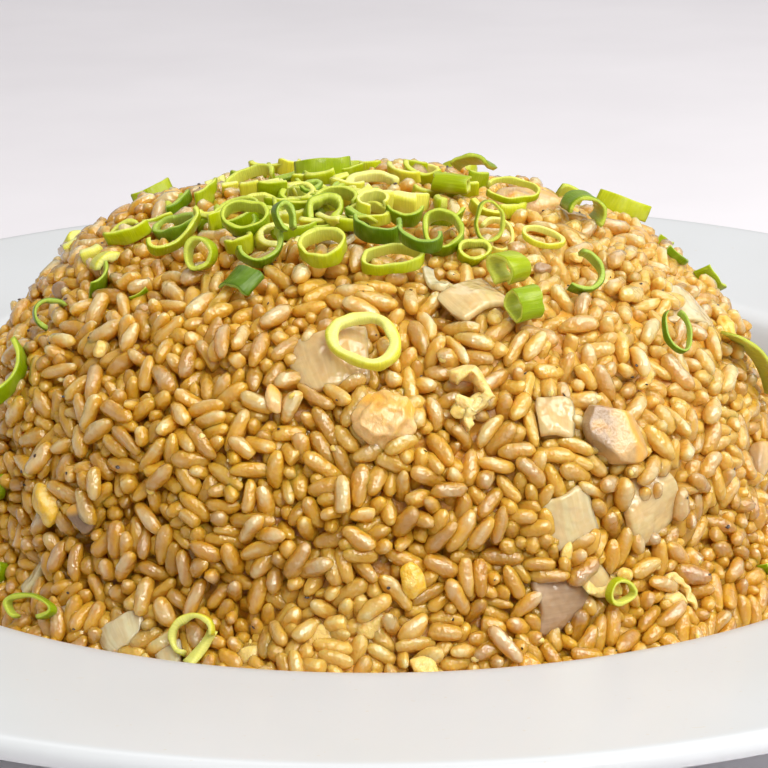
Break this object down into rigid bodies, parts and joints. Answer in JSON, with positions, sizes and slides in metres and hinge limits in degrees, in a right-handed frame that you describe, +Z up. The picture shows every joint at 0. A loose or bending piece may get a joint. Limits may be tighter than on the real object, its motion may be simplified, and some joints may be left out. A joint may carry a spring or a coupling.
{
  "type": "fried rice plate",
  "caption": "A moulded dome of fried rice with egg, chicken and onion, strewn with cut spring onion, on a white wide-rimmed plate.",
  "frame": {"origin": "middle of the plate's foot ring, on the table", "axes": "+Z up, -Y towards the front of the dish, +X to its right"},
  "size_m": [0.3, 0.3, 0.08],
  "materials": {
    "glazed_plate": "smooth white glaze",
    "rice": "cooked rice grains, translucent and oily",
    "spring_onion": "fresh cut spring onion, lime to dark green, paler inside",
    "onion": "soft translucent cooked onion",
    "chicken": "fried chicken, golden to brown",
    "egg": "scrambled egg, yellow and cream"
  },
  "bodies": {
    "root": {"plate": "glazed_plate", "rice_heap": "rice", "spring_onion_01": "spring_onion", "spring_onion_02": "spring_onion", "spring_onion_03": "spring_onion", "spring_onion_04": "spring_onion", "spring_onion_05": "spring_onion", "spring_onion_06": "spring_onion", "spring_onion_07": "spring_onion", "spring_onion_08": "spring_onion", "spring_onion_09": "spring_onion", "spring_onion_10": "spring_onion", "spring_onion_11": "spring_onion", "spring_onion_12": "spring_onion", "spring_onion_13": "spring_onion", "spring_onion_14": "spring_onion", "spring_onion_15": "spring_onion", "spring_onion_16": "spring_onion", "spring_onion_17": "spring_onion", "spring_onion_18": "spring_onion", "spring_onion_19": "spring_onion", "spring_onion_20": "spring_onion", "spring_onion_21": "spring_onion", "spring_onion_22": "spring_onion", "spring_onion_23": "spring_onion", "spring_onion_24": "spring_onion", "spring_onion_25": "spring_onion", "spring_onion_26": "spring_onion", "spring_onion_27": "spring_onion", "spring_onion_28": "spring_onion", "spring_onion_29": "spring_onion", "spring_onion_30": "spring_onion", "spring_onion_31": "spring_onion", "spring_onion_32": "spring_onion", "spring_onion_33": "spring_onion", "spring_onion_34": "spring_onion", "spring_onion_35": "spring_onion", "spring_onion_36": "spring_onion", "spring_onion_37": "spring_onion", "spring_onion_38": "spring_onion", "spring_onion_39": "spring_onion", "spring_onion_40": "spring_onion", "spring_onion_41": "spring_onion", "spring_onion_42": "spring_onion", "onion_01": "onion", "onion_02": "onion", "onion_03": "onion", "onion_04": "onion", "onion_05": "onion", "onion_06": "onion", "onion_07": "onion", "onion_08": "onion", "chicken_01": "chicken", "chicken_02": "chicken", "chicken_03": "chicken", "chicken_04": "chicken", "egg_01": "egg", "egg_02": "egg", "egg_03": "egg", "egg_04": "egg"}
  },
  "joints": []
}
